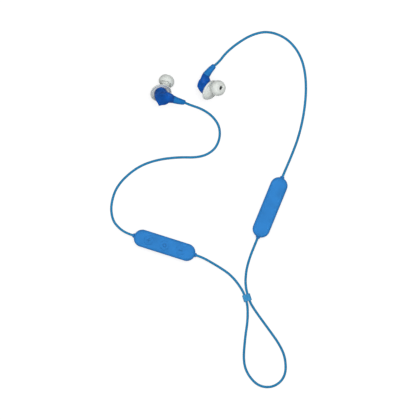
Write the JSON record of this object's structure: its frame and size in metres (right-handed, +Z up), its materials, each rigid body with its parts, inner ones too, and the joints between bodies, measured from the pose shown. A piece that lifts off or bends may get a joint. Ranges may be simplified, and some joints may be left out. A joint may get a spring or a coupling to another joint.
{
  "type": "neckband earphones",
  "caption": "Wireless in-ear earphones on a thin neck cord, with a button remote, a battery pod, a cord slider and silicone tips.",
  "frame": {"origin": "middle of the remote pod's flat back, on the surface that the earphones lie on", "axes": "+Z up from that surface, +Y from the cord loop towards the earbuds, +X towards the battery pod"},
  "size_m": [0.1519, 0.2752, 0.0243],
  "materials": {
    "board": "green solder mask",
    "button_rubber": "soft-touch, medium blue",
    "cell_wrap": "laminated foil pouch",
    "chip": "black",
    "copper": "enamelled wire",
    "cord_jacket": "smooth satin jacket, medium blue",
    "driver_plastic": "black",
    "film": "polymer film",
    "foam": "closed-cell foam",
    "lens": "clear light guide",
    "magnet": "nickel plated",
    "pod_rubber": "soft-touch moulded, medium blue",
    "relief_rubber": "satin, light blue",
    "seal_rubber": "dark blue seal",
    "shell_plastic": "dark blue, smooth satin gloss",
    "silicone": "translucent pale grey silicone",
    "steel": "plain"
  },
  "bodies": {
    "headset": {"remote_front_cover": "pod_rubber", "remote_rear_cover": "pod_rubber", "remote_gasket": "seal_rubber", "remote_board": "board", "tact_switches": "chip", "bluetooth_chip": "chip", "chip_antenna": "chip", "board_components": "chip", "microphone": "steel", "status_lens": "lens", "remote_right_grommet": "pod_rubber", "remote_left_grommet": "pod_rubber", "usb_socket": "steel", "flap_anchor": "pod_rubber", "battery_front_cover": "pod_rubber", "battery_rear_cover": "pod_rubber", "battery_gasket": "seal_rubber", "battery_cell": "cell_wrap", "battery_foam": "foam", "protection_board": "board", "battery_upper_grommet": "pod_rubber", "battery_lower_grommet": "pod_rubber", "right_rear_shell": "shell_plastic", "right_front_shell": "shell_plastic", "right_nozzle_mesh": "steel", "right_strain_relief": "relief_rubber", "right_driver_frame": "driver_plastic", "right_driver_yoke": "steel", "right_driver_magnet": "magnet", "right_voice_coil": "copper", "right_diaphragm": "film", "left_rear_shell": "shell_plastic", "left_front_shell": "shell_plastic", "left_nozzle_mesh": "steel", "left_strain_relief": "relief_rubber", "left_driver_frame": "driver_plastic", "left_driver_yoke": "steel", "left_driver_magnet": "magnet", "left_voice_coil": "copper", "left_diaphragm": "film", "cord_slider": "pod_rubber", "left_cord": "cord_jacket", "neck_cord": "cord_jacket", "right_cord": "cord_jacket"},
    "volume_up_key": {"volume_up_button": "button_rubber"},
    "play_key": {"play_button": "button_rubber"},
    "volume_down_key": {"volume_down_button": "button_rubber"},
    "flap": {"port_flap": "pod_rubber"},
    "left_flange": {"left_ear_flange": "silicone"},
    "left_tip": {"left_ear_tip": "silicone"},
    "right_flange": {"right_ear_flange": "silicone"},
    "right_tip": {"right_ear_tip": "silicone"}
  },
  "joints": [
    {"name": "volume_up_press", "type": "slide", "parent": "headset", "child": "volume_up_key", "axis": [0, 0, -1], "range_m": [0, 0.00035], "stiffness_N_per_m": 1200},
    {"name": "play_press", "type": "slide", "parent": "headset", "child": "play_key", "axis": [0, 0, -1], "range_m": [0, 0.00035], "stiffness_N_per_m": 1200},
    {"name": "volume_down_press", "type": "slide", "parent": "headset", "child": "volume_down_key", "axis": [0, 0, -1], "range_m": [0, 0.00035], "stiffness_N_per_m": 1200},
    {"name": "flap_hinge", "type": "hinge", "parent": "headset", "child": "flap", "pos_m": [-0.01318, -0.00285, 0.0026], "axis": [0, 0, -1], "range_deg": [0, 110], "stiffness_Nm_per_rad": 0.0002},
    {"name": "left_flange_pull", "type": "slide", "parent": "headset", "child": "left_flange", "axis": [0.3289, 0.8128, -0.4808], "range_m": [0, 0.012]},
    {"name": "left_tip_pull", "type": "slide", "parent": "left_flange", "child": "left_tip", "axis": [0.3289, 0.8128, -0.4808], "range_m": [0, 0.008]},
    {"name": "right_flange_pull", "type": "slide", "parent": "headset", "child": "right_flange", "axis": [0.5988, 0.0504, 0.7993], "range_m": [0, 0.012]},
    {"name": "right_tip_pull", "type": "slide", "parent": "right_flange", "child": "right_tip", "axis": [0.5988, 0.0504, 0.7993], "range_m": [0, 0.008]}
  ]
}
